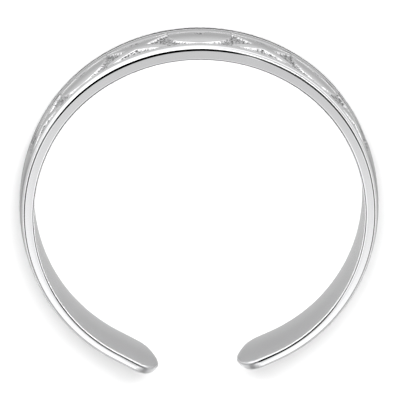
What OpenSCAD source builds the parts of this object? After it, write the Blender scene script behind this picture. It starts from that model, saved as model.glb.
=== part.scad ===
// Toe ring: one cast band, open at the back, lying on its side.
// The origin is on the ring's axis, on the surface that the ring rests on. +Z is the ring's axis.
// The decorated front faces -Y and the gap faces +Y. Angles round the ring are counted from the
// front, positive towards +X, about the centre of the arc that they lie on.

/* [Band] */
// Width of the band, along the toe
band_w = 4.2; // [3.6:0.1:6]
// Thickness of the side face at the front
edge_t = 0.52; // [0.42:0.02:0.8]
// Thickness of the side face at the tips
tip_edge_t = 0.34; // [0.24:0.02:0.4]
// Distance of each shoulder's crest from its side face
shoulder_in = 0.6; // [0.5:0.02:0.8]
// Height of each shoulder's crest above the side face's corner
shoulder_h = 0.14; // [0.11:0.01:0.2]
// Height of the outer face's crown above the shoulders
crown_h = 0.08; // [0.04:0.01:0.2]

/* [Bend] */
// Inside radius of the front arc, which is flatter than the arms
front_r = 7.82; // [7.6:0.05:9.5]
// Half of the angle that the front arc spans
front_half = 29.25; // [20:0.25:35]
// Distance from the ring's axis back to the centre of the front arc
front_shift = 0.45; // [0:0.05:0.8]
// Inside radius of the arm on the +X side
east_arm_r = 7.245; // [6.8:0.005:7.5]
// Inside radius of the arm on the -X side
west_arm_r = 7.165; // [6.8:0.005:7.5]
// Distance of the +X arm's tip from the middle of the gap
east_tip_x = 1.84; // [1:0.01:2.4]
// Distance of the -X arm's tip from the middle of the gap
west_tip_x = 1.68; // [1:0.01:2.4]

/* [Tips] */
// Radius of the tips' corners
tip_corner_r = 0.8; // [0.4:0.05:1.4]
// Radius of the arc across the band that ends each tip
tip_arc_r = 3.4; // [2.6:0.1:6]
// Thickness of the wall at the very end of a tip
tip_end_t = 0.12; // [0.1:0.02:0.2]
// Length over which the outer face runs down to the end of a tip
nose_length = 1.2; // [0.8:0.1:1.5]
// Radius of the outer face where it runs down
nose_r = 2.5; // [1.5:0.1:4]

/* [Sunk field] */
// Half of the angle round the ring that the sunk field spans
field_half = 70.5; // [69:0.5:100]
// Height of the sunk ground above the side face's corner
ground_h = 0.05; // [0.02:0.01:0.08]

/* [Hearts and crosses] */
// Angle from one motif to the next
motif_pitch = 20; // [19:0.25:23]
// Number of motifs on each side of the middle heart
motifs_a_side = 3; // [1:1:3]
// Height of the motifs' middles above the side face's corner
motif_h = 0.15; // [0.12:0.01:0.18]
// Fall of the motifs' tops from the middle of the band to the shoulders
motif_fall = 0.03; // [0.01:0.01:0.04]
// Radius of a heart's lobes
lobe_r = 0.66; // [0.5:0.02:0.7]
// Distance of each lobe's middle from the heart's middle line
lobe_x = 0.8; // [0.7:0.02:0.9]
// Distance of the lobes' tops from the middle of the band
lobe_reach = 1.1; // [0.9:0.02:1.2]
// Distance of the bottom of the notch between the lobes from the middle of the band
notch_reach = 0.4; // [0.3:0.02:0.6]
// Distance of a heart's point from the middle of the band
point_reach = 1.22; // [1:0.02:1.4]
// Radius of a heart's blunt point
point_r = 0.2; // [0.15:0.01:0.4]
// Radius of a heart's flanks, from its lobes to its point
flank_r = 1.8; // [1.6:0.05:2.5]
// Distance between the middles of a cross's arms, round the ring, where they reach the shoulders
cross_w = 2.4; // [1.8:0.05:2.6]
// Width of a cross's arms where they meet
cross_arm_w = 0.85; // [0.6:0.05:1]
// Width of a cross's arms where they reach the shoulders
cross_end_w = 0.5; // [0.4:0.05:0.6]

/* [Hidden] */
$fn = 96;

EAST = 1;
WEST = -1;
SILVER = [0.87, 0.87, 0.88];

mid_z = band_w / 2;
dome_h = shoulder_h + crown_h;

// Lengths are rounded to a tenth of a micrometre, so that neighbouring stretches meet exactly
function fine(x) = round(x * 10000) / 10000;

// The shoulders are arcs through the side faces' corners, and the crown's arc touches both. Each arc
// has its radius and the angle, either side of its crest, that it runs to
half_field_w = mid_z - shoulder_in;
shoulder_r = (pow(shoulder_in, 2) + pow(shoulder_h, 2)) / (2 * shoulder_h);
corner_turn = asin(shoulder_in / shoulder_r);
ground_turn = acos((shoulder_r - shoulder_h + ground_h) / shoulder_r);
crown_r = shoulder_r + (pow(half_field_w, 2) + pow(crown_h, 2)) / (2 * crown_h);
shoulder_turn = asin(half_field_w / (crown_r - shoulder_r));
motif_r = (pow(half_field_w, 2) + pow(motif_fall, 2)) / (2 * motif_fall);
motif_turn = asin(half_field_w / motif_r);
half_ground_w = half_field_w - shoulder_r * sin(ground_turn);
SHOULDER_STEPS = 5;
CROWN_STEPS = 4;
LOBE_STEPS = 14;
FLANK_STEPS = 6;
POINT_STEPS = 4;
TIP_CORNER_STEPS = 6;
TIP_ARC_STEPS = 10;
NOSE_STEPS = 8;

// A stretch's tools run past what they cut or join by this much
SPARE = 1;
SPARE_TURN = 4;
FRONT_SPARE_TURN = 2;

// A straight end's inner wall lies this little inside its arm's arc, so that the two walls cross
SEAM = 0.002;

// Each arm turns this far before it becomes straight. Both angles have a short sine and cosine, so that
// an arc and its straight end meet exactly
EAST_BEND_TURN = atan2(0.8432, -0.5376);
WEST_BEND_TURN = atan2(0.8, -0.6);

function arc_points(centre, r, from, to, steps) =
    [for (i = [0 : steps])
        let (t = from + (to - from) * i / steps)
        centre + r * [cos(t), sin(t)]];

function direction(v) = atan2(v[1], v[0]);

// A section's points, given as height above the side face's corner and z, once the corner's radius is known
function at_corner(corner, points) = [for (p = points) [fine(corner + p[0]), fine(p[1])]];

// Points of a section, followed by the same ones mirrored at the middle of the band
function both_ways(points) =
    concat(points, [for (i = [len(points) - 1 : -1 : 0]) [points[i][0], band_w - points[i][1]]]);

// From the side face's corner over its shoulder, and on to just short of the middle of the crown
shoulder_points =
    arc_points([shoulder_h - shoulder_r, shoulder_in], shoulder_r, -corner_turn, -shoulder_turn, SHOULDER_STEPS);
crown_points =
    arc_points([dome_h - crown_r, mid_z], crown_r, -shoulder_turn, -shoulder_turn / CROWN_STEPS, CROWN_STEPS - 1);

// The band's section: its inner wall lies this deep below the side faces' outer corners
function band_section(corner, deep) =
    at_corner(corner, both_ways(concat(
        [[-deep, 0], [0, 0]],
        [for (i = [1 : SHOULDER_STEPS]) shoulder_points[i]],
        [for (i = [1 : CROWN_STEPS - 1]) crown_points[i]]
    )));

// The section of what is sunk between the shoulders, whose inner flanks are round as the outer ones are
function sunk_section(corner) =
    at_corner(corner, both_ways(concat(
        arc_points([shoulder_h - shoulder_r, shoulder_in], shoulder_r, ground_turn, 0, SHOULDER_STEPS),
        [[dome_h + SPARE, shoulder_in]]
    )));

// The section that the motifs' tops follow, from below the ground
function motif_section(corner) =
    at_corner(corner, both_ways(concat(
        [[ground_h - edge_t / 2, shoulder_in]],
        arc_points([motif_h - motif_r, mid_z], motif_r, -motif_turn, -motif_turn / CROWN_STEPS, CROWN_STEPS - 1)
    )));

// What each arm takes its place from, along the line where it leaves the front arc
function arm_r(side) = side == EAST ? east_arm_r : west_arm_r;
function tip_x(side) = side == EAST ? east_tip_x : west_tip_x;
function bend_turn(side) = side == EAST ? EAST_BEND_TURN : WEST_BEND_TURN;
function end_length(side) =
    let (
        end = front_half + bend_turn(side),
        bend_x = (front_r - arm_r(side)) * sin(front_half) + arm_r(side) * sin(end)
    )
    fine((tip_x(side) - bend_x) / cos(end));
function arm_thinning(side) = (edge_t - tip_edge_t) / (1 - cos(bend_turn(side)));
function arm_corner_r(side) = fine(arm_r(side) + edge_t - arm_thinning(side));
front_corner_r = front_r + edge_t;

// Children at the front arc's centre, with +X along the line where the east or west arm leaves it
module side_frame(side) {
    mirror([side == WEST ? 1 : 0, 0, 0])
        translate([0, front_shift, 0])
            rotate([0, 0, front_half - 90])
                children();
}

// What children hold on one side of the ring's middle plane
module side_half(side) {
    reach = 4 * (front_r + edge_t);
    intersection() {
        children();
        translate([side == WEST ? -reach : 0, -reach / 2, -reach / 2])
            cube(reach);
    }
}

// Half of the front arc, with a little more for the cut at the middle plane
module front_stretch(profile) {
    rotate([0, 0, -front_half - FRONT_SPARE_TURN])
        rotate_extrude(angle = front_half + FRONT_SPARE_TURN)
            polygon(profile);
}

module arm_stretch(side, turn, profile) {
    translate([front_corner_r - arm_corner_r(side), 0, 0])
        rotate_extrude(angle = turn)
            polygon(profile);
}

// Children at the middle of an arc with this radius on an arm, with +Y along the arm's straight end
module end_frame(side, front_radius, arm_radius) {
    translate([front_radius - arm_radius, 0, 0])
        rotate([0, 0, bend_turn(side)])
            children();
}

// An arm's arc, cut off square where it becomes straight, and the straight end
module arm_and_end(side) {
    corner_r = arm_corner_r(side);
    section = band_section(corner_r, 2 * edge_t);
    length = end_length(side) + SPARE;
    difference() {
        arm_stretch(side, bend_turn(side) + SPARE_TURN, section);
        end_frame(side, front_corner_r, corner_r)
            translate([0, 0, -SPARE])
                cube(2 * corner_r);
    }
    end_frame(side, front_corner_r, corner_r)
        translate([0, length, 0])
            rotate([90, 0, 0])
                linear_extrude(length)
                    polygon(section);
}

// What is cut away inside an arm: a round stretch and a straight one
module arm_hollow(side) {
    tall = band_w + 2 * SPARE;
    translate([front_r - arm_r(side), 0, -SPARE])
        cylinder(r = arm_r(side), h = tall);
    end_frame(side, front_r, arm_r(side))
        translate([0, 0, -SPARE])
            cube([arm_r(side) - SEAM, end_length(side) + 2 * SPARE, tall]);
}

// Outline of what lies beyond a tip, whose end is at the first axis's zero: an arc across the band that
// touches a corner's arc at either side
function past_tip() =
    let (
        corner_off = mid_z - tip_corner_r,
        turn = asin(corner_off / (tip_arc_r - tip_corner_r)),
        corner_x = (tip_arc_r - tip_corner_r) * cos(turn) - tip_arc_r
    )
    concat(
        arc_points([corner_x, -corner_off], tip_corner_r, -90, -turn, TIP_CORNER_STEPS),
        [for (i = [1 : TIP_ARC_STEPS - 1])
            arc_points([-tip_arc_r, 0], tip_arc_r, -turn, turn, TIP_ARC_STEPS)[i]],
        arc_points([corner_x, corner_off], tip_corner_r, turn, 90, TIP_CORNER_STEPS),
        [[corner_x, band_w], [band_w, band_w], [band_w, -band_w], [corner_x, -band_w]]
    );

// Outline of what lies outside a tip's nose, with the tip's end and its inner wall at zero
function past_nose() =
    let (
        end = [tip_end_t, 0],
        start = [tip_edge_t + dome_h, -nose_length],
        chord = start - end,
        inward = [chord[1], -chord[0]] / norm(chord),
        centre = (start + end) / 2 + inward * sqrt(pow(nose_r, 2) - pow(norm(chord) / 2, 2))
    )
    concat(
        arc_points(centre, nose_r, direction(end - centre), direction(start - centre), NOSE_STEPS),
        [[start[0] + SPARE, start[1]], [start[0] + SPARE, SPARE], [end[0], SPARE]]
    );

module tip_cut(side) {
    end_frame(side, front_r, arm_r(side)) {
        translate([arm_r(side) - mid_z, end_length(side), mid_z])
            rotate([90, 0, 90])
                linear_extrude(band_w)
                    polygon(past_tip());
        translate([arm_r(side), end_length(side), -SPARE])
            linear_extrude(band_w + 2 * SPARE)
                polygon(past_nose());
    }
}

module half_band(side) {
    side_half(side) side_frame(side) {
        front_stretch(band_section(front_corner_r, edge_t));
        difference() {
            arm_and_end(side);
            arm_hollow(side);
            tip_cut(side);
        }
    }
}

// One side's half of what lies in the sunk field's place
module half_field(side) {
    side_half(side) side_frame(side) {
        front_stretch(sunk_section(front_corner_r));
        arm_stretch(side, field_half - front_half, sunk_section(arm_corner_r(side)));
    }
}

// One side's half of the curved layer that the motifs are cut out of
module half_motif_layer(side) {
    side_half(side) side_frame(side) {
        front_stretch(motif_section(front_corner_r));
        arm_stretch(side, field_half - front_half + SPARE_TURN, motif_section(arm_corner_r(side)));
    }
}

// Right half of a heart with its point towards +Z, round the ring and across the band
notch_bottom = [0, -notch_reach];
lobe_middle = [lobe_x, lobe_r - lobe_reach];
point_middle = [0, point_reach - point_r];

// Middle of the flank's circle, which the lobe's and the point's circles touch from inside
function flank_middle() =
    let (
        way = point_middle - lobe_middle,
        far = norm(way),
        to_lobe = flank_r - lobe_r,
        to_point = flank_r - point_r,
        along = (pow(to_lobe, 2) - pow(to_point, 2) + pow(far, 2)) / (2 * far),
        off = sqrt(pow(to_lobe, 2) - pow(along, 2))
    )
    lobe_middle + way / far * along - [way[1], -way[0]] / far * off;

function heart_half() =
    let (
        middle = flank_middle(),
        lobe_end = direction(lobe_middle - middle),
        flank_end = direction(point_middle - middle),
        from_notch = lobe_middle - notch_bottom,
        lobe_start = direction(from_notch) - 180 + acos(lobe_r / norm(from_notch))
    )
    concat(
        [notch_bottom],
        arc_points(lobe_middle, lobe_r, lobe_start, lobe_end, LOBE_STEPS),
        [for (i = [1 : FLANK_STEPS])
            arc_points(middle, flank_r, lobe_end, flank_end, FLANK_STEPS)[i]],
        [for (i = [1 : POINT_STEPS])
            arc_points(point_middle, point_r, flank_end, 90, POINT_STEPS)[i]]
    );

module heart_shape() {
    half = heart_half();
    polygon(concat(half, [for (i = [len(half) - 2 : -1 : 1]) [-half[i][0], half[i][1]]]));
}

// A cross's arm runs from corner to corner of its place, and on up the shoulders' inner flanks
module cross_arm(slope) {
    reach = [slope * cross_w / 2, half_ground_w];
    buried = reach * half_field_w / half_ground_w;
    across = [reach[1], -reach[0]] / norm(reach);
    polygon([
        buried + across * cross_end_w / 2,
        reach + across * cross_end_w / 2,
        across * cross_arm_w / 2,
        -reach + across * cross_end_w / 2,
        -buried + across * cross_end_w / 2,
        -buried - across * cross_end_w / 2,
        -reach - across * cross_end_w / 2,
        -across * cross_arm_w / 2,
        reach - across * cross_end_w / 2,
        buried - across * cross_end_w / 2
    ]);
}

module cross_shape() {
    cross_arm(1);
    cross_arm(-1);
}

// Places a motif's outline square to the band at one step round the ring
module motif_place(step) {
    side = step < 0 ? WEST : EAST;
    turn = abs(step) * motif_pitch;
    on_front = turn <= front_half;
    corner_r = on_front ? front_corner_r : arm_corner_r(side);
    side_frame(side)
        translate([front_corner_r - corner_r, 0, 0])
            rotate([0, 0, turn - front_half])
                translate([corner_r - edge_t, 0, mid_z])
                    rotate([90, 0, 90])
                        linear_extrude(edge_t + SPARE)
                            children();
}

// Hearts and crosses take turns, with a heart in the middle of the front
module motifs() {
    for (step = [-motifs_a_side : motifs_a_side])
        motif_place(step)
            if (step % 2 == 0)
                heart_shape();
            else
                cross_shape();
}

module band() {
    color(SILVER)
        difference() {
            union() {
                half_band(EAST);
                half_band(WEST);
            }
            difference() {
                union() {
                    half_field(EAST);
                    half_field(WEST);
                }
                intersection() {
                    union() {
                        half_motif_layer(EAST);
                        half_motif_layer(WEST);
                    }
                    motifs();
                }
            }
        }
}

band();
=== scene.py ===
# %% [markdown]
# # An open toe ring with hearts and crosses
#
# The real ring is one slim casting in white metal, bent round by hand and polished. It lies here on its
# side, with its decorated front towards -Y and the gap between its tips towards +Y. The band could be
# swept along a curve, but a sweep has the same section everywhere, and this band has round tips and a
# field of low relief. So it is made as a jeweller makes such a band: a flat strip is cut, stamped and
# bent. In Blender the strip is a fine grid, which is thickened, rounded at its corners, stamped and bent.
#
# Values that are given stand in capitals, and values that are worked out from them in small letters. All
# sizes of the ring are in millimetres and its angles in degrees, until the bend is done.

import math

import bmesh
import bpy
from mathutils import Matrix, Vector, kdtree, noise


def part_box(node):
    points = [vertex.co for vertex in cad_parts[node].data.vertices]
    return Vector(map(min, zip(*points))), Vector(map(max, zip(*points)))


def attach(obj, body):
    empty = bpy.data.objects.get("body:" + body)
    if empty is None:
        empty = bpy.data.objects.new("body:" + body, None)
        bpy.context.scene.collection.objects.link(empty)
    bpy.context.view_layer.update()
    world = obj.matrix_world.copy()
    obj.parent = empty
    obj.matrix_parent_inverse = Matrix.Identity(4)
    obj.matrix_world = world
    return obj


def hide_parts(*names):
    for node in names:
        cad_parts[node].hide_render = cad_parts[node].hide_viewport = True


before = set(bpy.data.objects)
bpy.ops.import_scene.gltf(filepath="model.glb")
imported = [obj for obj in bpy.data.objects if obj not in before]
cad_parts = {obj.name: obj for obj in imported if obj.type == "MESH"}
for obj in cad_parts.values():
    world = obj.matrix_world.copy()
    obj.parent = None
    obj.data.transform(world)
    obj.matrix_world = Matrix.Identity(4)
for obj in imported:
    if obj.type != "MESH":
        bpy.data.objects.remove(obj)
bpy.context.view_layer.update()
low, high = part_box("band")
MM = 0.001
band_w = (high[2] - low[2]) / MM
mid_w = band_w / 2
print(f"band: {band_w:.2f} mm wide, {(high[0] - low[0]) / MM:.2f} mm over its arms")

# %% [markdown]
# ## The bend
#
# The band's plan is a flatter arc for the front, a rounder arc for each arm and a short straight end
# after it, each touching the next. A curve object could hold that plan, but every point of the strip has
# to find its own place on it, so the plan is written as functions: a place along the strip, counted from
# the front and positive towards +X, gives a place on the line. The inner wall and the line of the outer
# corners are arcs with slightly different middles, and that thins the band towards its tips.

# %% The bend's arcs and straight ends
EAST, WEST = 1, -1
FLAT_R = 7.2  # an angle of turn on this radius is a length of the flat strip
FRONT_R = 7.82
FRONT_HALF = 29.25  # angle from the middle of the front to the start of an arm
FRONT_SHIFT = 0.45  # the front arc's middle lies this far towards the gap
EDGE_T = 0.52
TIP_EDGE_T = 0.34
ARM_R = {EAST: 7.245, WEST: 7.165}
BEND_TURN = {EAST: 122.521, WEST: 126.87}
TIP_X = {EAST: 1.84, WEST: 1.68}  # a tip's distance from the line through the gap


def sin_deg(turn):
    return math.sin(math.radians(turn))


def cos_deg(turn):
    return math.cos(math.radians(turn))


def outward(turn):
    """Direction away from the ring's middle at an angle of turn."""
    return Vector((sin_deg(turn), -cos_deg(turn)))


def flat_x(turn):
    """Place along the flat strip that comes to an angle of turn."""
    return FLAT_R * math.radians(turn)


def bend_end(side):
    """Angle of turn at which an arm becomes straight."""
    return FRONT_HALF + BEND_TURN[side]


def end_length(side):
    """Length of an arm's straight end."""
    bend_x = (FRONT_R - ARM_R[side]) * sin_deg(FRONT_HALF) + ARM_R[side] * sin_deg(bend_end(side))
    return (TIP_X[side] - bend_x) / cos_deg(bend_end(side))


def tip_place(side):
    """Place of a tip along the strip, without its sign."""
    return flat_x(bend_end(side)) + end_length(side)


def corner_r(side):
    """Radius of the outer corners' arc on an arm."""
    return ARM_R[side] + EDGE_T - (EDGE_T - TIP_EDGE_T) / (1 - cos_deg(BEND_TURN[side]))


front_middle = Vector((0, FRONT_SHIFT))
for side, title in ((EAST, "+X"), (WEST, "-X")):
    print(f"arm at {title}: straight from {bend_end(side):.1f} degrees, for {end_length(side):.2f} mm")


# %% Points on the inner wall and on the outer corners
def side_of(x):
    """The arm that a place along the strip belongs to."""
    return EAST if x > 0 else WEST


def turn_at(x):
    """Angle of turn at a place along the strip, which stays the same on the straight ends."""
    side = side_of(x)
    return side * min(math.degrees(abs(x) / FLAT_R), bend_end(side))


def on_plan(x, front_radius, arm_radius):
    """A point of the plan at a place along the strip."""
    turn = turn_at(x)
    if abs(turn) <= FRONT_HALF:
        return front_middle + front_radius * outward(turn)
    side = side_of(x)
    arm_middle = front_middle + (front_radius - arm_radius) * outward(side * FRONT_HALF)
    straight = max(abs(x) - flat_x(bend_end(side)), 0)
    forward = side * Vector((cos_deg(turn), sin_deg(turn)))
    return arm_middle + arm_radius * outward(turn) + straight * forward


def inner_point(x):
    return on_plan(x, FRONT_R, ARM_R[side_of(x)])


def corner_point(x):
    return on_plan(x, FRONT_R + EDGE_T, corner_r(side_of(x)))


def side_t(x):
    """Thickness of the side face at a place along the strip."""
    return (corner_point(x) - inner_point(x)).length


for x in (0, flat_x(90), tip_place(EAST)):
    print(f"side face at {x:5.2f} mm along the strip: {side_t(x):.2f} mm thick")

# %% [markdown]
# ## The flat strip
#
# The strip is laid out flat, with X along it, Y across it and Z through its thickness. `create_grid` cuts
# it into columns and rows, and these are then moved to where the relief needs them: rows stand closer on
# the round shoulders, and columns at the tips. A tip ends in an arc across the band, with a smaller arc
# at each corner. It could be cut out of the grid with a knife, but that leaves ragged faces. So its
# square end is turned into that shape in a way that keeps each row's distance from the edge, and the
# rows run round the tip without a pole.

# %% Columns and rows of the strip
FIELD_HALF = 70.5  # angle from the middle of the front to the end of the decorated field
COLUMN_STEP = 0.2
TIP_COLUMNS = 8
TIP_CORNER_R = 0.8
TIP_ARC_R = 3.4
TIP_ZONE = 2.4  # the strip is square from here on, counted from its end
SHOULDER_ROWS = 7
MIDDLE_ROWS = 16
SHOULDER_ZONE = 0.7


def spread(start, end, count):
    """Evenly spaced places after start, up to and with end."""
    return [start + (end - start) * i / count for i in range(1, count + 1)]


def steps(start, end):
    """Places that are about one column's step apart."""
    return spread(start, end, round((end - start) / COLUMN_STEP))


west_end, east_end = -tip_place(WEST), tip_place(EAST)
field_x = flat_x(FIELD_HALF)
columns = [west_end]
columns += spread(west_end, west_end + TIP_CORNER_R, TIP_COLUMNS)
columns += steps(west_end + TIP_CORNER_R, -field_x)
columns += steps(-field_x, field_x)
columns += steps(field_x, east_end - TIP_CORNER_R)
columns += spread(east_end - TIP_CORNER_R, east_end, TIP_COLUMNS)

rows = [0.0]
rows += spread(0, SHOULDER_ZONE, SHOULDER_ROWS)
rows += spread(SHOULDER_ZONE, band_w - SHOULDER_ZONE, MIDDLE_ROWS)
rows += spread(band_w - SHOULDER_ZONE, band_w, SHOULDER_ROWS)
print(f"strip: {east_end - west_end:.1f} mm long, {len(columns) - 1} columns and {len(rows) - 1} rows")

# %% The shape of a tip
corner_off = mid_w - TIP_CORNER_R
tip_turn = math.asin(corner_off / (TIP_ARC_R - TIP_CORNER_R))
corner_x = (TIP_ARC_R - TIP_CORNER_R) * math.cos(tip_turn) - TIP_ARC_R


def heading(vector):
    """Angle of a vector, in radians."""
    return math.atan2(vector.y, vector.x)


def past_end(x):
    """How far a place is past its tip's end, less than zero on the strip."""
    return abs(x) - (east_end if x > 0 else -west_end)


def on_tip(along, across):
    """A place in a square end, counted from the tip and from the middle line, brought into the tip."""
    side = max(across - corner_off, 0)
    depth = -along
    if depth > TIP_CORNER_R:
        share = (TIP_ZONE - depth) / (TIP_ZONE - TIP_CORNER_R)
        inner_x, inner_y = on_tip(-TIP_CORNER_R, across) if side == 0 else (corner_x, across)
        return share * inner_x - (1 - share) * TIP_ZONE, share * inner_y + (1 - share) * across
    if side == 0:
        turn = tip_turn * across / corner_off
        return (TIP_ARC_R - depth) * math.cos(turn) - TIP_ARC_R, (TIP_ARC_R - depth) * math.sin(turn)
    forward = TIP_CORNER_R - depth
    half = (math.pi / 2 - tip_turn) / 2
    turn = tip_turn + half * side / forward if forward > side else math.pi / 2 - half * forward / side
    radius = max(forward, side)
    return corner_x + radius * math.cos(turn), corner_off + radius * math.sin(turn)


def edge_distance(x, across):
    """Distance from the strip's outline, and the direction in which the outline faces there."""
    along, off = past_end(x), abs(across)
    from_arc = Vector((along + TIP_ARC_R, off))
    from_corner = Vector((along - corner_x, off - corner_off))
    if from_corner.x > 0 and heading(from_arc) > tip_turn:
        distance, facing = TIP_CORNER_R - from_corner.length, from_corner.normalized()
    elif along > -TIP_ARC_R and TIP_ARC_R - from_arc.length < mid_w - off:
        distance, facing = TIP_ARC_R - from_arc.length, from_arc.normalized()
    else:
        distance, facing = mid_w - off, Vector((0, 1))
    return max(distance, 0), Vector((math.copysign(facing.x, x), math.copysign(facing.y, across)))


print(f"tip: corner arcs start {math.degrees(tip_turn):.1f} degrees off its middle")

# %% The strip's grid
GRID_HALF = 0.5


def grid_share(coordinate):
    """Share of the way over a new grid, which reaches from -GRID_HALF to GRID_HALF."""
    return coordinate + GRID_HALF


strip = bmesh.new()
bmesh.ops.create_grid(strip, x_segments=len(columns) - 1, y_segments=len(rows) - 1, size=GRID_HALF)
for vert in strip.verts:
    x = columns[round(grid_share(vert.co.x) * (len(columns) - 1))]
    across = rows[round(grid_share(vert.co.y) * (len(rows) - 1))] - mid_w
    along = past_end(x)
    if along > -TIP_ZONE:
        new_along, new_across = on_tip(along, abs(across))
        x += math.copysign(1, x) * (new_along - along)
        across = math.copysign(new_across, across)
    vert.co = (x, mid_w + across, 0)
print(f"strip: {len(strip.faces)} faces")

# %% [markdown]
# ## Thickness and corners
#
# Extruding the whole face region turns the sheet into a closed plate. A Solidify modifier would do the
# same, but the side faces need a few levels of their own, so that the bend can let them fall off. A cast
# and polished edge is never sharp, so the loops of edges round both large faces are bevelled while the
# plate is still flat, where the bevel has even, square corners to work on. The bevel is a little flatter
# than a quarter of a circle, as a polishing wheel leaves it, and it is what catches the thin dark lines
# along both corners of the side face.

# %% The plate
SIDE_LEVELS = (0, 0.19, 0.4, 0.6, 0.81, 1)  # shares of the thickness
plate = bmesh.ops.extrude_face_region(strip, geom=strip.faces[:])
raised = [part for part in plate["geom"] if isinstance(part, bmesh.types.BMVert)]
bmesh.ops.translate(strip, verts=raised, vec=(0, 0, EDGE_T))
bmesh.ops.recalc_face_normals(strip, faces=strip.faces[:])
upright = [edge for edge in strip.edges if abs(edge.verts[0].co.z - edge.verts[1].co.z) > EDGE_T / 2]
bmesh.ops.subdivide_edges(strip, edges=upright, cuts=len(SIDE_LEVELS) - 2, use_grid_fill=True)
for vert in strip.verts:
    vert.co.z = EDGE_T * SIDE_LEVELS[round(vert.co.z / EDGE_T * (len(SIDE_LEVELS) - 1))]
print(f"plate: {EDGE_T} mm thick, {len(strip.faces)} faces")

# %% The plate's rounded corners
CORNER_ROUND = 0.085
CORNER_PROFILE = 0.4
CORNER_SEGMENTS = 4
LARGE_FACE_Z = 0.5  # a face whose normal's Z is above this belongs to one of the two large faces


def is_corner(edge):
    """Whether an edge lies between a side face and one of the plate's two large faces."""
    tilt = [abs(face.normal.z) for face in edge.link_faces]
    return min(tilt) < LARGE_FACE_Z < max(tilt)


corners = [edge for edge in strip.edges if is_corner(edge)]
bmesh.ops.bevel(
    strip,
    geom=corners,
    offset=CORNER_ROUND,
    affect="EDGES",
    segments=CORNER_SEGMENTS,
    profile=CORNER_PROFILE,
    material=-1,
    clamp_overlap=True,
)
print(f"plate: {len(corners)} corner edges rounded, {len(strip.faces)} faces")

# %% [markdown]
# ## A finer field
#
# Only the decorated field needs small faces. Subdividing the whole strip would be simpler, but cutting
# just the edges there keeps the plain arms and the whole inner wall light, and it keeps the piece well
# under the limit on triangles.

# %% Finer faces where the relief goes
FINE_CUTS = 5
SPARE_COLUMNS = 2
fine_across = mid_w - SHOULDER_ZONE
fine_along = field_x + SPARE_COLUMNS * COLUMN_STEP


def in_field(face):
    """Whether a face of the plate's top lies between the shoulders in the decorated part."""
    middle = face.calc_center_median()
    inside = abs(middle.y - mid_w) < fine_across and abs(middle.x) < fine_along
    return inside and face.normal.z > LARGE_FACE_Z


field_faces = [face for face in strip.faces if in_field(face)]
field_edges = list({edge for face in field_faces for edge in face.edges})
bmesh.ops.subdivide_edges(strip, edges=field_edges, cuts=FINE_CUTS, use_grid_fill=True)
print(f"field: {len(field_faces)} faces became finer, {len(strip.faces)} faces in all")

# %% [markdown]
# ## The section across the band
#
# The outer face rises from both corners in round shoulders. On the plain arms a low crown joins them. In
# the field they are two rails with a sunk ground between them. A drawn profile could hold one of these
# sections, but the band goes from one to the other, so each is a function that gives a height. Heights
# are counted from the side face's corner, as in the source of the solid, so that both keep one shape.

# %% Heights of the shoulders, the crown and the ground
SHOULDER_IN = 0.6
SHOULDER_H = 0.14
CROWN_H = 0.08
GROUND_H = 0.05
half_field_w = mid_w - SHOULDER_IN
shoulder_r = (SHOULDER_IN**2 + SHOULDER_H**2) / (2 * SHOULDER_H)
crown_r = shoulder_r + (half_field_w**2 + CROWN_H**2) / (2 * CROWN_H)
crown_start = crown_r * half_field_w / (crown_r - shoulder_r)
ground_half = half_field_w - math.sqrt(shoulder_r**2 - (shoulder_r - SHOULDER_H + GROUND_H) ** 2)


def arc_height(top, radius, off):
    """Height of an arc at a distance off its crest."""
    return top - radius + math.sqrt(max(radius**2 - off**2, 0))


def shoulder_height(off_crest):
    return max(arc_height(SHOULDER_H, shoulder_r, off_crest), 0)


def plain_height(off_middle):
    """Height of the plain outer face at a distance from the band's middle line."""
    if off_middle < crown_start:
        return arc_height(SHOULDER_H + CROWN_H, crown_r, off_middle)
    return shoulder_height(off_middle - half_field_w)


def rail_height(off_middle):
    """Height of the rails and of the ground between them."""
    return GROUND_H if off_middle < ground_half else shoulder_height(off_middle - half_field_w)


for off in (0, ground_half, half_field_w, mid_w):
    print(f"{off:.2f} mm off the middle: plain {plain_height(off):.3f} mm, field {rail_height(off):.3f} mm")

# %% [markdown]
# ## Hearts and crosses
#
# A motif's edge could be cut into the mesh, but cast relief has soft edges, so it is enough to know how
# deep inside a motif each point lies. For a cross that is simple: how far the point is from the edge of
# the nearer arm. For a heart the outline is drawn as arcs, and a k-d tree gives the nearest place on it.

# %% The heart's outline
LOBE_R = 0.66
LOBE_OFF = 0.8
HEART_FOOT = -1.1
NOTCH_PLACE = -0.4
HEART_POINT = 1.22
POINT_R = 0.2
FLANK_R = 1.8
OUTLINE_STEP = 0.01
lobe_middle = Vector((LOBE_OFF, LOBE_R + HEART_FOOT))
notch_bottom = Vector((0, NOTCH_PLACE))
point_middle = Vector((0, HEART_POINT - POINT_R))


def arc(middle, radius, start, end):
    """Points on an arc, close enough together to measure distances from."""
    count = max(2, round(abs(end - start) * radius / OUTLINE_STEP))
    angles = [start + (end - start) * i / count for i in range(count + 1)]
    return [middle + radius * Vector((math.cos(a), math.sin(a))) for a in angles]


def flank_middle():
    """Middle of the circle that the lobe's and the point's circles touch from inside."""
    way = point_middle - lobe_middle
    to_lobe = FLANK_R - LOBE_R
    to_point = FLANK_R - POINT_R
    along = (to_lobe**2 - to_point**2 + way.length_squared) / (2 * way.length)
    off = math.sqrt(to_lobe**2 - along**2)
    return lobe_middle + way.normalized() * along - Vector((way.y, -way.x)).normalized() * off


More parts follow.
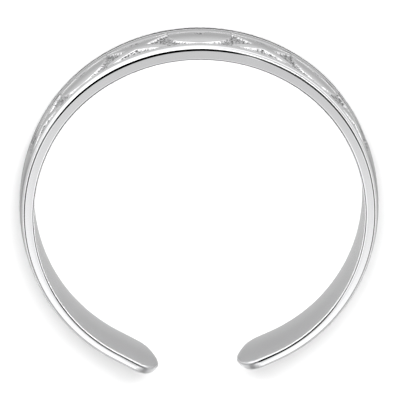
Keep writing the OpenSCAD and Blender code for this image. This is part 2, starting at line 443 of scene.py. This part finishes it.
def heart_half():
    """The heart's half towards +X, from the notch between its lobes round to its point."""
    middle = flank_middle()
    from_notch = lobe_middle - notch_bottom
    lobe_start = heading(from_notch) - math.pi + math.acos(LOBE_R / from_notch.length)
    lobe_end = heading(lobe_middle - middle)
    flank_end = heading(point_middle - middle)
    lobe = arc(lobe_middle, LOBE_R, lobe_start, lobe_end)
    count = round((lobe[0] - notch_bottom).length / OUTLINE_STEP)
    notch = [notch_bottom.lerp(lobe[0], i / count) for i in range(count)]
    flank = arc(middle, FLANK_R, lobe_end, flank_end)
    point = arc(point_middle, POINT_R, flank_end, math.pi / 2)
    return notch + lobe + flank[1:] + point[1:]


heart_side = heart_half()
heart_tree = kdtree.KDTree(len(heart_side))
for i, place in enumerate(heart_side):
    heart_tree.insert(place.to_3d(), i)
heart_tree.balance()
heart_w = 2 * max(place.x for place in heart_side)
across = [place.y for place in heart_side]
print(f"heart: {heart_w:.2f} mm wide, from {min(across):.2f} to {max(across):.2f} mm off the band's middle")


# %% How deep a point lies inside a heart
def inside_heart(place):
    """Counts how often a line from the place towards +X crosses the outline's half."""
    crossings = 0
    for start, end in zip(heart_side, heart_side[1:]):
        if (start.y > place.y) != (end.y > place.y):
            share = (place.y - start.y) / (end.y - start.y)
            if start.x + (end.x - start.x) * share > place.x:
                crossings += 1
    return crossings % 2 == 1


def heart_depth(along, across):
    place = Vector((abs(along), across))
    near = heart_tree.find(place.to_3d())[2]
    return near if inside_heart(place) else -near


print(f"heart: {heart_depth(0, 0):.2f} mm deep at its middle")

# %% How deep a point lies inside a cross
CROSS_HALF = 1.2
CROSS_ARM_W = 0.85
CROSS_END_W = 0.5


def cross_depth(along, across):
    """Depth inside the nearer of two tapered arms that run from corner to corner."""
    arm = Vector((CROSS_HALF, ground_half))
    depths = []
    for slope in (1, -1):
        direction = Vector((slope * arm.x, arm.y)).normalized()
        share = abs(direction.x * along + direction.y * across) / arm.length
        off = abs(direction.y * along - direction.x * across)
        width = CROSS_ARM_W + (CROSS_END_W - CROSS_ARM_W) * min(share, 1)
        depths.append(width / 2 - off)
    return max(depths)


print(f"cross: {cross_depth(0, 0):.2f} mm deep at its middle")

# %% [markdown]
# ## The stamp
#
# Every point of the outer face now gets its height. A motif rises from the ground in a steep quarter of
# an ellipse, and its top is very slightly domed, which is how a polished casting looks after its high
# places have been rubbed. The ground between the motifs is grained with a fine, fixed noise. A Displace
# modifier with a texture could raise all this, but it can't tell the finish where the ground is. The
# function here gives back both: the height, and how much bare ground there is at the point.

# %% How a motif rises
MOTIF_PITCH = 20
MOTIFS_A_SIDE = 3
MOTIF_EDGE = 0.1
MOTIF_DOME = 0.75
EDGE_PART = 0.94  # share of the rise that lies in the steep edge


def ease(share):
    """A share from 0 to 1 that starts and ends softly."""
    share = min(max(share, 0), 1)
    return share * share * (3 - 2 * share)


def swell(depth):
    """Share of a motif's height at a depth inside its outline: a steep edge and a gently domed top."""
    edge = min(max(depth / MOTIF_EDGE, 0), 1)
    dome = min(max(depth / MOTIF_DOME, 0), 1)
    return EDGE_PART * math.sqrt(1 - (1 - edge) ** 2) + (1 - EDGE_PART) * math.sqrt(1 - (1 - dome) ** 2)


def motif_share(turn, across):
    """How far the motif at a place is raised, from 0 on the ground to 1 on its top."""
    step = round(turn / MOTIF_PITCH)
    if abs(step) > MOTIFS_A_SIDE:
        return 0
    along = math.radians(turn - step * MOTIF_PITCH) * (FRONT_R + EDGE_T)
    depth = cross_depth(along, across) if step % 2 else heart_depth(along, across)
    return swell(depth)


print(f"motifs: {2 * MOTIFS_A_SIDE + 1}, every {MOTIF_PITCH} degrees")

# %% Relief
MOTIF_H = 0.15
MOTIF_FALL = 0.03  # a motif is this much lower at the rails than at the band's middle
FIELD_END_EDGE = 0.12
GROUND_EDGE = 0.16
GRAIN_H = 0.016
GRAIN_SIZE = 0.075
FINE_GRAIN = 0.5
FINE_GRAIN_SCALE = 2.1


def grain(turn, across):
    """Two sizes of fixed noise on the ground."""
    place = Vector((math.radians(turn) * (FRONT_R + EDGE_T), across, 0)) / GRAIN_SIZE
    return noise.noise(place) + FINE_GRAIN * noise.noise(FINE_GRAIN_SCALE * place)


def stamp(turn, across):
    """Height of the outer face and the share of bare ground there."""
    off = min(abs(across), mid_w)
    plain = plain_height(off)
    field_share = ease((FIELD_HALF - abs(turn)) * math.radians(1) * FRONT_R / FIELD_END_EDGE)
    if field_share == 0 or off > half_field_w:
        return plain if off <= half_field_w else min(plain, rail_height(off)), 0.0
    rail = rail_height(off)
    share = motif_share(turn, across)
    top = MOTIF_H - MOTIF_FALL * (off / half_field_w) ** 2
    motif = GROUND_H + (top - GROUND_H) * share
    ground = (1 - share) * ease((ground_half + GROUND_EDGE / 2 - off) / GROUND_EDGE) * field_share
    field = max(rail, motif) + GRAIN_H * grain(turn, across) * ground
    return plain + (field - plain) * field_share, ground


for title, place in (("heart", (0, 0.3)), ("cross", (MOTIF_PITCH, 0)), ("ground", (MOTIF_PITCH / 2, 0))):
    print(f"{title}: {stamp(*place)[0]:.3f} mm high")

# %% [markdown]
# ## Bending
#
# The bend takes a point of the flat plate to the real band. Its place along the strip gives the angle of
# turn, its place across gives the height above the floor, and its place through the thickness lies
# between the inner wall and the outer corners. A Curve modifier would bend the plate too, but it knows
# no thinner tips. A hand-bent, hand-polished band is never perfectly even, so a slow, very small waver
# goes in at the same time. The side faces fall off a little towards the outer corners, the inner edges
# are rounded more on the arms, and the tips are worn. Reflections get their life from all of these.

# %% The tips' shape
TIP_END_T = 0.12
NOSE_LENGTH = 1.2
NOSE_R = 2.5


def nose_height(x):
    """Height of the outer face's round above the inner wall near a tip."""
    end = Vector((0, TIP_END_T))
    start = Vector((-NOSE_LENGTH, TIP_EDGE_T + SHOULDER_H + CROWN_H))
    chord = start - end
    aside = Vector((-chord.y, chord.x)).normalized() * math.sqrt(NOSE_R**2 - (chord.length / 2) ** 2)
    middle = (start + end) / 2 + (aside if aside.y < 0 else -aside)
    along = past_end(x)
    if along < -NOSE_LENGTH:
        return start.y - along - NOSE_LENGTH
    return middle.y + math.sqrt(NOSE_R**2 - (along - middle.x) ** 2)


def tip_shoulder(distance):
    """Height of the shoulder that runs on round the tip."""
    if distance > SHOULDER_IN:
        return SHOULDER_H + distance - SHOULDER_IN
    return shoulder_height(SHOULDER_IN - distance)


for along in (0, 0.4, 0.8, NOSE_LENGTH):
    print(f"{along:.1f} mm before a tip: at most {nose_height(east_end - along):.2f} mm thick")

# %% The wear and the waver
WAVER_H = 0.006
WAVER_LENGTH = 3.0
WAVER_THROUGH = 4  # how far apart in the noise the inner wall and the outer face are
SIDE_FALL = 0.03
SIDE_FALL_REACH = 0.35
INNER_FALL = 0.012
INNER_FALL_SHARE = 0.33
INNER_FALL_TURN = 90
TIP_FALL = 0.02
ARM_LIFT = 0.05
ARM_LIFT_TURN = 60
TIP_LIFT = 0.06
LIFT_REACH = 0.2
ON_EDGE = 0.001


def waver(x, across, share):
    """A slow noise, which differs between the inner wall and the outer face."""
    return WAVER_H * noise.noise(Vector((x, across, WAVER_THROUGH * share)) / WAVER_LENGTH)


def closeness(distance, reach):
    """1 at no distance, and softly down to 0 at the reach."""
    return max(1 - distance / reach, 0) ** 2


def edge_lift(turn, tip_share):
    """How far the edge of the inner wall is worn outwards."""
    return tip_share * TIP_LIFT + (1 - tip_share) * ARM_LIFT * ease(abs(turn) / ARM_LIFT_TURN)


def edge_fall(turn, distance, share, tip_share):
    """How far the side face falls back at a share of the way through the thickness."""
    along_side = SIDE_FALL * share * (1 - tip_share) + TIP_FALL * share**2 * tip_share
    fall = closeness(distance, SIDE_FALL_REACH) * along_side
    if distance < ON_EDGE:
        fall += INNER_FALL * ease(abs(turn) / INNER_FALL_TURN) * closeness(share, INNER_FALL_SHARE)
    return fall


print(f"wear: side faces fall {SIDE_FALL} mm, inner edges are lifted up to {TIP_LIFT} mm")

# %% What the points and corners of the plate remember
ground_layer = strip.verts.layers.float.new("ground")
wall_layer = strip.verts.layers.float.new("inner_wall")
tip_layer = strip.verts.layers.float.new("tip")
uv_layer = strip.loops.layers.uv.new("strip")
for face in strip.faces:
    face.smooth = True
    for loop in face.loops:
        loop[uv_layer].uv = (loop.vert.co.x, loop.vert.co.y)
print("plate: has its flat places as a UV map, and room for three attributes")

# %% The stamped and bent band
POLISHED_OFF = 0.02  # taken off the whole outer face, so that it stays inside the solid
TIP_START = 2.3  # the tips' own wear begins this far from their ends
TIP_SOFT = 1.3  # and their softer finish this far
ON_FACE = 0.001
corner_share = CORNER_ROUND / EDGE_T


def bend(vert):
    """Takes a point of the flat plate to its place on the ring."""
    x, y, through = vert.co
    turn, across = turn_at(x), y - mid_w
    share = through / EDGE_T
    distance, facing = edge_distance(x, across)
    tip_share = ease((past_end(x) + TIP_START) / (TIP_START + corner_x))
    height, ground = stamp(math.degrees(x / FLAT_R), across)
    height = min(height, tip_shoulder(distance))
    rise = min(max((share - 1) / corner_share + 1, 0), 1)
    level = min(share * side_t(x) + rise * height, share * nose_height(x)) - rise * POLISHED_OFF
    level += edge_lift(turn, tip_share) * (1 - share) * closeness(distance, LIFT_REACH)
    vert[ground_layer] = ground if share > 1 - ON_FACE else 0.0
    vert[wall_layer] = 1.0 if share < ON_FACE else 0.0
    vert[tip_layer] = ease((past_end(x) + TIP_SOFT) / (TIP_SOFT - TIP_CORNER_R))
    fall = edge_fall(turn, distance, share, tip_share)
    place = inner_point(x - facing.x * fall) + outward(turn) * (level + waver(x, across, share))
    vert.co = (place.x, place.y, y - facing.y * fall)


for vert in strip.verts:
    bend(vert)
bmesh.ops.scale(strip, verts=strip.verts[:], vec=(MM, MM, MM))
bmesh.ops.recalc_face_normals(strip, faces=strip.faces[:])
print(f"band: {len(strip.verts)} points, {strip.calc_volume() / MM**3:.1f} cubic mm")

# %% The band as an object
band_mesh = bpy.data.meshes.new("band_relief")
strip.to_mesh(band_mesh)
strip.free()
band_piece = bpy.data.objects.new("band_relief", band_mesh)
bpy.context.collection.objects.link(band_piece)
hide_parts("band")
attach(band_piece, "root")
band_mesh.calc_loop_triangles()
print(f"band: {len(band_mesh.loop_triangles)} triangles")

# %% [markdown]
# ## The finish
#
# Rhodium on silver is a hard white metal. Worked surfaces are polished bright, the inner wall is a little
# softer, the tips are rubbed by hand, and the ground keeps the matt, grained skin of the casting. The inner
# wall's colour is also made greyer, as painted shade, and dark speckles are painted into the ground's
# colour as the shade of its pits. Four materials on four sets of faces would show hard borders between
# them, so all of it is one Principled BSDF. Three attributes that the bend left on the points say where
# the ground, the inner wall and the tips are, and fine scratches run along the strip on its own UV map. In
# these cells, `nodes` and `links` are always those of the material that is being made.

# %% Polished silver, and helpers for its nodes
silver = bpy.data.materials.new("rhodium_on_silver")
silver.use_nodes = True
nodes, links = silver.node_tree.nodes, silver.node_tree.links
shader = nodes["Principled BSDF"]
shader.inputs["Metallic"].default_value = 1.0
MIX_SOCKETS = {"FLOAT": (2, 3, 0), "RGBA": (6, 7, 2)}  # places of a Mix node's two inputs and its result


def set_input(socket, value):
    """Links another node's output to a socket, or gives the socket a value of its own."""
    if isinstance(value, bpy.types.NodeSocket):
        links.new(value, socket)
    else:
        socket.default_value = value


def add_node(kind, inputs=(), **settings):
    """A new node with its settings, and with inputs by their name or place."""
    node = nodes.new(kind)
    for setting, value in settings.items():
        setattr(node, setting, value)
    for socket, value in dict(inputs).items():
        set_input(node.inputs[socket], value)
    return node


def mix(kind, share, first, second, **settings):
    """A number or a colour that goes from the first to the second with a share."""
    first_at, second_at, result_at = MIX_SOCKETS[kind]
    inputs = {0: share, first_at: first, second_at: second}
    return add_node("ShaderNodeMix", inputs, data_type=kind, **settings).outputs[result_at]


def attribute(title):
    return add_node("ShaderNodeAttribute", attribute_name=title).outputs["Fac"]


is_ground = attribute("ground")
is_wall = attribute("inner_wall")
is_tip = attribute("tip")
print("finish: reads the attributes ground, inner_wall and tip")

# %% Roughness of the metal
SCRATCH_STRETCH = (0.6, 24, 1)
SCRATCH_SCALE, SCRATCH_DETAIL = 1.4, 4
SMOOTHEST, ROUGHEST = 0.05, 0.12
TIP_ROUGHNESS = 0.4
WALL_ROUGHNESS = 0.2
GROUND_ROUGHNESS = 0.3


def speckle(place, scale, detail):
    """Noise from 0 to 1 at a place."""
    inputs = {"Vector": place, "Scale": scale, "Detail": detail}
    return add_node("ShaderNodeTexNoise", inputs).outputs["Fac"]


strip_uv = add_node("ShaderNodeUVMap", uv_map="strip").outputs["UV"]
stretched = add_node("ShaderNodeMapping", {"Vector": strip_uv, "Scale": SCRATCH_STRETCH}).outputs["Vector"]
scratches = speckle(stretched, SCRATCH_SCALE, SCRATCH_DETAIL)
polish = mix("FLOAT", scratches, SMOOTHEST, ROUGHEST)
polish = mix("FLOAT", is_tip, polish, TIP_ROUGHNESS)
polish = mix("FLOAT", is_wall, polish, WALL_ROUGHNESS)
polish = mix("FLOAT", is_ground, polish, GROUND_ROUGHNESS)
set_input(shader.inputs["Roughness"], polish)
print("finish: polished, softer on the inner wall and the tips, and matt on the ground")

# %% Colour of the metal, with painted shade on the inner wall and in the ground's pits
BRIGHT = (0.87, 0.87, 0.88, 1)
WALL_PAINTED_SHADE = (0.74, 0.74, 0.75, 1)
PAINTED_PIT_SHADE = (0.1, 0.1, 0.1, 1)
GRAIN_SCALE, GRAIN_DETAIL = 9, 2
PIT_SHADE_START, PIT_SHADE_END = 0.42, 0.52


def between(value, start, end):
    """Share of the way that a value has gone from start to end."""
    inputs = {"Value": value, "From Min": start, "From Max": end}
    return add_node("ShaderNodeMapRange", inputs).outputs["Result"]


skin = speckle(strip_uv, GRAIN_SCALE, GRAIN_DETAIL)
# Dark speckles in the ground's colour are painted shade, standing for the shadow in the casting's pits.
painted_pit_shade = mix("RGBA", between(skin, PIT_SHADE_START, PIT_SHADE_END), PAINTED_PIT_SHADE, BRIGHT)
# The inner wall's greyer colour is painted shade: it stands for the lesser light that reaches the wall.
colour = mix("RGBA", is_wall, BRIGHT, WALL_PAINTED_SHADE)
set_input(shader.inputs["Base Color"], mix("RGBA", is_ground, colour, painted_pit_shade))
print("finish: bright, a little greyer on the inner wall, with dark pits in the ground")

# %% Fine scratches and the grain of the casting
SCRATCH_STRENGTH = 0.12
SCRATCH_DEPTH = 0.000004
GRAIN_DEPTH = 0.00002
scratched = add_node(
    "ShaderNodeBump", {"Strength": SCRATCH_STRENGTH, "Distance": SCRATCH_DEPTH, "Height": scratches}
).outputs["Normal"]
grained = add_node(
    "ShaderNodeBump", {"Strength": is_ground, "Distance": GRAIN_DEPTH, "Height": skin, "Normal": scratched}
).outputs["Normal"]
set_input(shader.inputs["Normal"], grained)
band_mesh.materials.append(silver)
print("finish: scratches and grain on the strip's own UV map")

# %% [markdown]
# ## The floor
#
# The ring lies on white paper. The camera sees plain paper everywhere, but polished metal that mirrors
# nothing except white paper would vanish, so in what the metal mirrors the paper is grey behind the
# ring. A second sheet could do that too, and one sheet that asks what kind of ray has come is simpler.

# %% The floor
FLOOR_HALF = 1.2
FLOOR_DROP = 0.00002
bpy.context.scene.view_settings.view_transform = "Standard"
floor_mesh = bpy.data.meshes.new("floor")
sheet = bmesh.new()
bmesh.ops.create_grid(sheet, x_segments=2, y_segments=2, size=FLOOR_HALF)
sheet.to_mesh(floor_mesh)
sheet.free()
floor = bpy.data.objects.new("floor", floor_mesh)
bpy.context.collection.objects.link(floor)
floor_mesh.transform(Matrix.Translation((0, 0, -FLOOR_DROP)))
print("floor: laid under the ring")

# %% The floor's paper
PAPER = (0.93, 0.93, 0.93, 1)
GREY_PAPER = (0.45, 0.45, 0.45, 1)
PAPER_ROUGHNESS = 0.9
PAPER_SHINE = 0.1
BACK_START, BACK_END = 8, 11
paper = bpy.data.materials.new("white_paper")
paper.use_nodes = True
nodes, links = paper.node_tree.nodes, paper.node_tree.links
paper_shader = nodes["Principled BSDF"]
paper_shader.inputs["Roughness"].default_value = PAPER_ROUGHNESS
paper_shader.inputs["Specular IOR Level"].default_value = PAPER_SHINE
floor_place = add_node("ShaderNodeSeparateXYZ", {0: add_node("ShaderNodeTexCoord").outputs["Object"]})
behind = between(floor_place.outputs["Y"], BACK_START * MM, BACK_END * MM)
mirrored = mix("RGBA", behind, PAPER, GREY_PAPER)
is_mirrored = add_node("ShaderNodeLightPath").outputs["Is Glossy Ray"]
set_input(paper_shader.inputs["Base Color"], mix("RGBA", is_mirrored, PAPER, mirrored))
floor_mesh.materials.append(paper)
print("floor: white paper, grey behind the ring in what the metal mirrors")

# %% [markdown]
# ## Collars of glowing card, painted reflections
#
# The camera looks almost straight down, so the outer and inner walls mirror the floor at their feet.
# A collar is a strip that lies there, cut to the band's own plan, and glows though it is no lamp; only
# mirror rays see it, so it paints reflections into the walls.
# Short tables say how bright it is at each distance from the band's corner: for the front, for the
# front's side towards -X, for the arms and for the inner wall. They give the far rail its dark outline,
# the hearts their grey and the inner wall its even tone. Cards in the tent could give the same tones, but
# each of them would show in the whole ring and not in one wall.

# %% The collars' brightness
# Each row of a table is a distance from the band's corner in millimetres, and the brightness there.
FRONT_GLOW = ((-0.3, 0.0), (0.25, 0.0), (0.27, 1.3), (0.33, 1.3), (0.35, 0.47), (0.55, 0.45), (0.96, 0.74),
              (1.15, 0.62), (2.0, 0.62), (2.7, 1.15), (5.5, 1.15))
WEST_GLOW = FRONT_GLOW[:-1] + ((3.2, 1.15), (4.0, 0.62), (5.5, 0.62))
ARM_GLOW = ((-0.3, 0.2), (0.2, 0.25), (0.5, 0.5), (1.2, 0.3), (1.8, 0.6), (3.0, 0.7), (5.5, 0.7))
WALL_GLOW = ((-0.3, 0.66), (0.1, 0.64), (0.5, 0.51), (1.2, 0.48), (1.8, 0.9))
WEST_TURN, FRONT_TURN, ARM_TURN = 30, 55, 85


def read_table(table, value):
    """Value of a table between its entries, along straight lines."""
    for (start, low_value), (end, high_value) in zip(table, table[1:]):
        if value <= end:
            return low_value + (high_value - low_value) * max(value - start, 0) / (end - start)
    return table[-1][1]


def outer_glow(turn, away):
    """Brightness outside the band, where the front's tables give way to the arms' table."""
    west = ease(-turn / WEST_TURN)
    front = (1 - west) * read_table(FRONT_GLOW, away) + west * read_table(WEST_GLOW, away)
    share = ease((abs(turn) - FRONT_TURN) / (ARM_TURN - FRONT_TURN))
    return (1 - share) * front + share * read_table(ARM_GLOW, away)


def wall_glow(turn, away):
    """Brightness inside the band, which is the same at every turn."""
    return read_table(WALL_GLOW, away)


print(f"collars: {outer_glow(0, 0.5):.2f} half a millimetre from the front, {wall_glow(0, 0.5):.2f} inside")

# %% The collars' glow, a painted reflection
painted_reflection = bpy.data.materials.new("collar_painted_reflection")
painted_reflection.use_nodes = True
nodes, links = painted_reflection.node_tree.nodes, painted_reflection.node_tree.links
nodes.remove(nodes["Principled BSDF"])
# The card's glow is a painted reflection: nothing lights it, and it lights nothing.
reflection_glow = add_node("ShaderNodeEmission", {"Color": attribute("glow")})
set_input(nodes["Material Output"].inputs["Surface"], reflection_glow.outputs["Emission"])
print("collars: a card that glows as its points say")

# %% The collars
COLLAR_STEP = 0.06
COLLAR_SPARE = 1.5  # a collar goes this far past each tip
COLLAR_UNDER = 0.3  # and starts this far under the band
COLLAR_DROP = 0.00001
OUTER_REACH, WALL_REACH = 5.5, 1.8


def lay_collar(title, foot, outwards, reach, glow):
    """A glowing strip on the floor that only reflections see, a painted reflection, from under the band's
    foot to a distance away from it.
    """
    sheet = bmesh.new()
    length = east_end - west_end + 2 * COLLAR_SPARE
    width = reach + COLLAR_UNDER
    along_steps, away_steps = round(length / COLUMN_STEP), round(width / COLLAR_STEP)
    bmesh.ops.create_grid(sheet, x_segments=along_steps, y_segments=away_steps, size=GRID_HALF)
    glow_layer = sheet.verts.layers.float.new("glow")
    for vert in sheet.verts:
        x = west_end - COLLAR_SPARE + grid_share(vert.co.x) * length
        away = -COLLAR_UNDER + grid_share(vert.co.y) * width
        place = (foot(x) + outwards * outward(turn_at(x)) * away) * MM
        vert[glow_layer] = glow(turn_at(x), away)
        vert.co = (place.x, place.y, -COLLAR_DROP)
    mesh = bpy.data.meshes.new(title)
    sheet.to_mesh(mesh)
    sheet.free()
    mesh.materials.append(painted_reflection)
    collar = bpy.data.objects.new(title, mesh)
    bpy.context.collection.objects.link(collar)
    collar.visible_camera = False
    collar.visible_diffuse = False
    collar.visible_shadow = False
    print(f"{title}: {len(mesh.polygons)} faces")


lay_collar("outer_collar", corner_point, 1, OUTER_REACH, outer_glow)
lay_collar("inner_collar", inner_point, -1, WALL_REACH, wall_glow)

# %% [markdown]
# ## The tent
#
# Polished metal shows what stands round it, so the light is a white tent. A wholly white tent would make
# the ring vanish, and jewellers stand dark cards beside the piece for that reason. Cards could be real
# planes, but then their edges have to be kept out of the picture, so the world's shader paints them by
# direction: one card in front, one at the left and one behind, with a gap of light under it. A dark rim
# runs all round above the horizon, and the part overhead is softly darker. The rounded corners pick up
# the cards and the rim as thin dark lines, and the flat side face shows the part overhead.

# %% The tent's looks
world = bpy.data.worlds.new("tent")
bpy.context.scene.world = world
world.use_nodes = True
nodes, links = world.node_tree.nodes, world.node_tree.links
look = add_node("ShaderNodeTexCoord").outputs["Generated"]
look_up = add_node("ShaderNodeSeparateXYZ", {0: look}).outputs["Z"]


def towards(direction):
    """How nearly a look goes in a direction, from 0 for sideways to 1."""
    inputs = {0: look, 1: Vector(direction).normalized()}
    return add_node("ShaderNodeVectorMath", inputs, operation="DOT_PRODUCT").outputs["Value"]


def ramp(value, *stops):
    """Brightness that follows a value through stops of place and brightness."""
    node = add_node("ShaderNodeValToRGB", {"Fac": value})
    node.color_ramp.interpolation = "EASE"
    while len(node.color_ramp.elements) < len(stops):
        node.color_ramp.elements.new(0.5)
    for element, (place, bright) in zip(node.color_ramp.elements, stops):
        element.position = place
        element.color = (bright, bright, bright, 1)
    return node.outputs["Color"]


def blend(kind, first, second):
    """Two brightnesses laid over each other."""
    return mix("RGBA", 1, first, second, blend_type=kind)


print("tent: looks in a direction and gets a brightness")

# %% The tent
TENT_STRENGTH = 1.2
front_card = ramp(towards((0.38, -0.82, 0.42)), (0.70, 1.0), (0.80, 0.0))
left_card = ramp(towards((-0.75, -0.55, 0.38)), (0.84, 1.0), (0.9, 0.05))
back_card = ramp(towards((0.0, 0.99, 0.1)), (0.55, 1.0), (0.7, 0.26))
under_card = ramp(look_up, (0.0, 0.6), (0.16, 0.0))
rim = ramp(look_up, (0.0, 0.9), (0.04, 0.12), (0.45, 0.12), (0.62, 1.0))
overhead = ramp(towards((-0.05, -0.12, 0.99)), (0.86, 1.0), (0.985, 0.52))
back_card = blend("LIGHTEN", back_card, under_card)
cards = blend("DARKEN", blend("DARKEN", front_card, left_card), blend("DARKEN", back_card, rim))
tent_light = nodes["Background"]
tent_light.inputs["Strength"].default_value = TENT_STRENGTH
set_input(tent_light.inputs["Color"], blend("MULTIPLY", cards, overhead))
print("tent: white, with three dark cards, a dark rim above the horizon and a softer part overhead")

# %% What the camera sees behind the floor
WHITE = (1, 1, 1, 1)
plain = add_node("ShaderNodeBackground", {"Color": WHITE, "Strength": 1.0})
seen = add_node("ShaderNodeLightPath").outputs["Is Camera Ray"]
shaders = {1: tent_light.outputs["Background"], 2: plain.outputs["Background"]}
choice = add_node("ShaderNodeMixShader", {"Fac": seen, **shaders})
set_input(nodes["World Output"].inputs["Surface"], choice.outputs["Shader"])
print("tent: plain white where the camera looks past the floor")

# %% [markdown]
# ## Soft boxes
#
# The tent by itself lights the paper too evenly for a shadow. One sun would draw a hard one. So a wide
# box of light stands close over the decorated front, from where soft shadows fall outside the arms, and a
# large one far away fills them until they are faint. The metal doesn't mirror either of them, because
# they would be two more bright spots in it.


# %% Soft boxes
def soft_box(title, place, width, depth, power):
    """A lamp in millimetres, turned to the ring's middle, that lights the floor and isn't mirrored."""
    lamp = bpy.data.lights.new(title, "AREA")
    lamp.shape = "RECTANGLE"
    lamp.size = width * MM
    lamp.size_y = depth * MM
    lamp.energy = power
    box = bpy.data.objects.new(title, lamp)
    box.location = Vector(place) * MM
    way = Vector((0, 0, 0)) - Vector(place)
    box.rotation_euler = way.to_track_quat("-Z", "Y").to_euler()
    bpy.context.collection.objects.link(box)
    box.visible_camera = False
    box.visible_glossy = False
    print(f"{title}: {width} x {depth} mm, {power} W")


soft_box("over_the_front", (0, -14, 40), 34, 12, 0.018)
soft_box("fill", (0, -60, 300), 200, 200, 0.4)

# %% [markdown]
# ## The camera
#
# The photograph was taken with the ring standing up, from a little above its axis. Here the ring lies
# down, so the same view looks down on it: the camera stands above the ring and leans 14 degrees towards
# its decorated front, which is at the top of the picture. The lens is long, because the far side of the
# band is hardly smaller than the near one.

# %% Camera
CAMERA_RISE = 14.411
CAMERA_SWING = -0.904
CAMERA_DISTANCE = 389.5
AIM_X, AIM_Y = -0.027, -0.3415
PIXELS_A_MM = 21.94
SENSOR = 36.0
PICTURE = 400
CLIP_START, CLIP_END = 0.01, 10
aim_point = Vector((AIM_X, AIM_Y, mid_w))
lean = cos_deg(CAMERA_RISE)
back = Vector((-sin_deg(CAMERA_SWING) * lean, -sin_deg(CAMERA_RISE), cos_deg(CAMERA_SWING) * lean))
right = Vector((0, -1, 0)).cross(back).normalized()
up = back.cross(right)
camera_data = bpy.data.cameras.new("camera")
camera_data.sensor_width = SENSOR
camera_data.lens = PIXELS_A_MM * CAMERA_DISTANCE * SENSOR / PICTURE
camera_data.clip_start = CLIP_START
camera_data.clip_end = CLIP_END
camera = bpy.data.objects.new("camera", camera_data)
turned = Matrix((right, up, back)).transposed().to_4x4()
camera.matrix_world = Matrix.Translation((aim_point + back * CAMERA_DISTANCE) * MM) @ turned
bpy.context.collection.objects.link(camera)
bpy.context.scene.camera = camera
print(f"camera: {camera_data.lens:.0f} mm lens")
